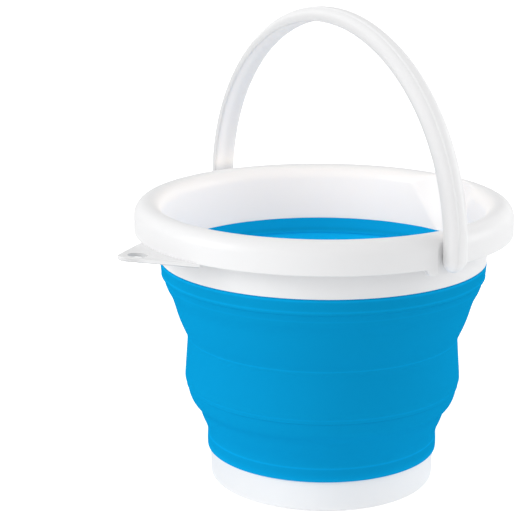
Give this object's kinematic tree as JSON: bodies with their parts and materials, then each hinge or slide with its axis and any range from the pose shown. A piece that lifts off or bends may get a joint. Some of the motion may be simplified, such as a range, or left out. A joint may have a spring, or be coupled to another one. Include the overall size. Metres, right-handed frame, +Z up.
{
  "type": "collapsible camp bucket",
  "caption": "Round collapsible bucket with a stiff rolled rim and base cup, a folding bellows wall, a pouring spout, a hanging tab and a swinging bail.",
  "frame": {"origin": "middle of the flat underside of the base cup", "axes": "+Z up, +X towards the pouring spout, -X towards the hanging tab, the bail's axis along Y"},
  "size_m": [0.353, 0.3364, 0.3971],
  "materials": {
    "rim_plastic": "satin",
    "bail_plastic": "satin",
    "base_plastic": "satin",
    "bellows_rubber": "silky matt"
  },
  "bodies": {
    "base": {"base_cup": "base_plastic", "bellows_lower_cuff": "bellows_rubber"},
    "middle_ring": {"bellows_middle_ring": "bellows_rubber", "bellows_lower_web": "bellows_rubber"},
    "rim": {"rim_frame": "rim_plastic", "bellows_upper_cuff": "bellows_rubber", "bellows_upper_web": "bellows_rubber"},
    "bail": {"bail_handle": "bail_plastic"}
  },
  "joints": [
    {"name": "lower_fold", "type": "slide", "parent": "base", "child": "middle_ring", "axis": [0, 0, -1], "range_m": [0, 0.07], "deforming": ["bellows_lower_web"]},
    {"name": "upper_fold", "type": "slide", "parent": "middle_ring", "child": "rim", "axis": [0, 0, -1], "range_m": [0, 0.1], "deforming": ["bellows_upper_web"]},
    {"name": "bail_hinge", "type": "hinge", "parent": "rim", "child": "bail", "pos_m": [0.0055, 0, 0.221], "axis": [0, 1, 0], "range_deg": [-87.5, 90]}
  ]
}
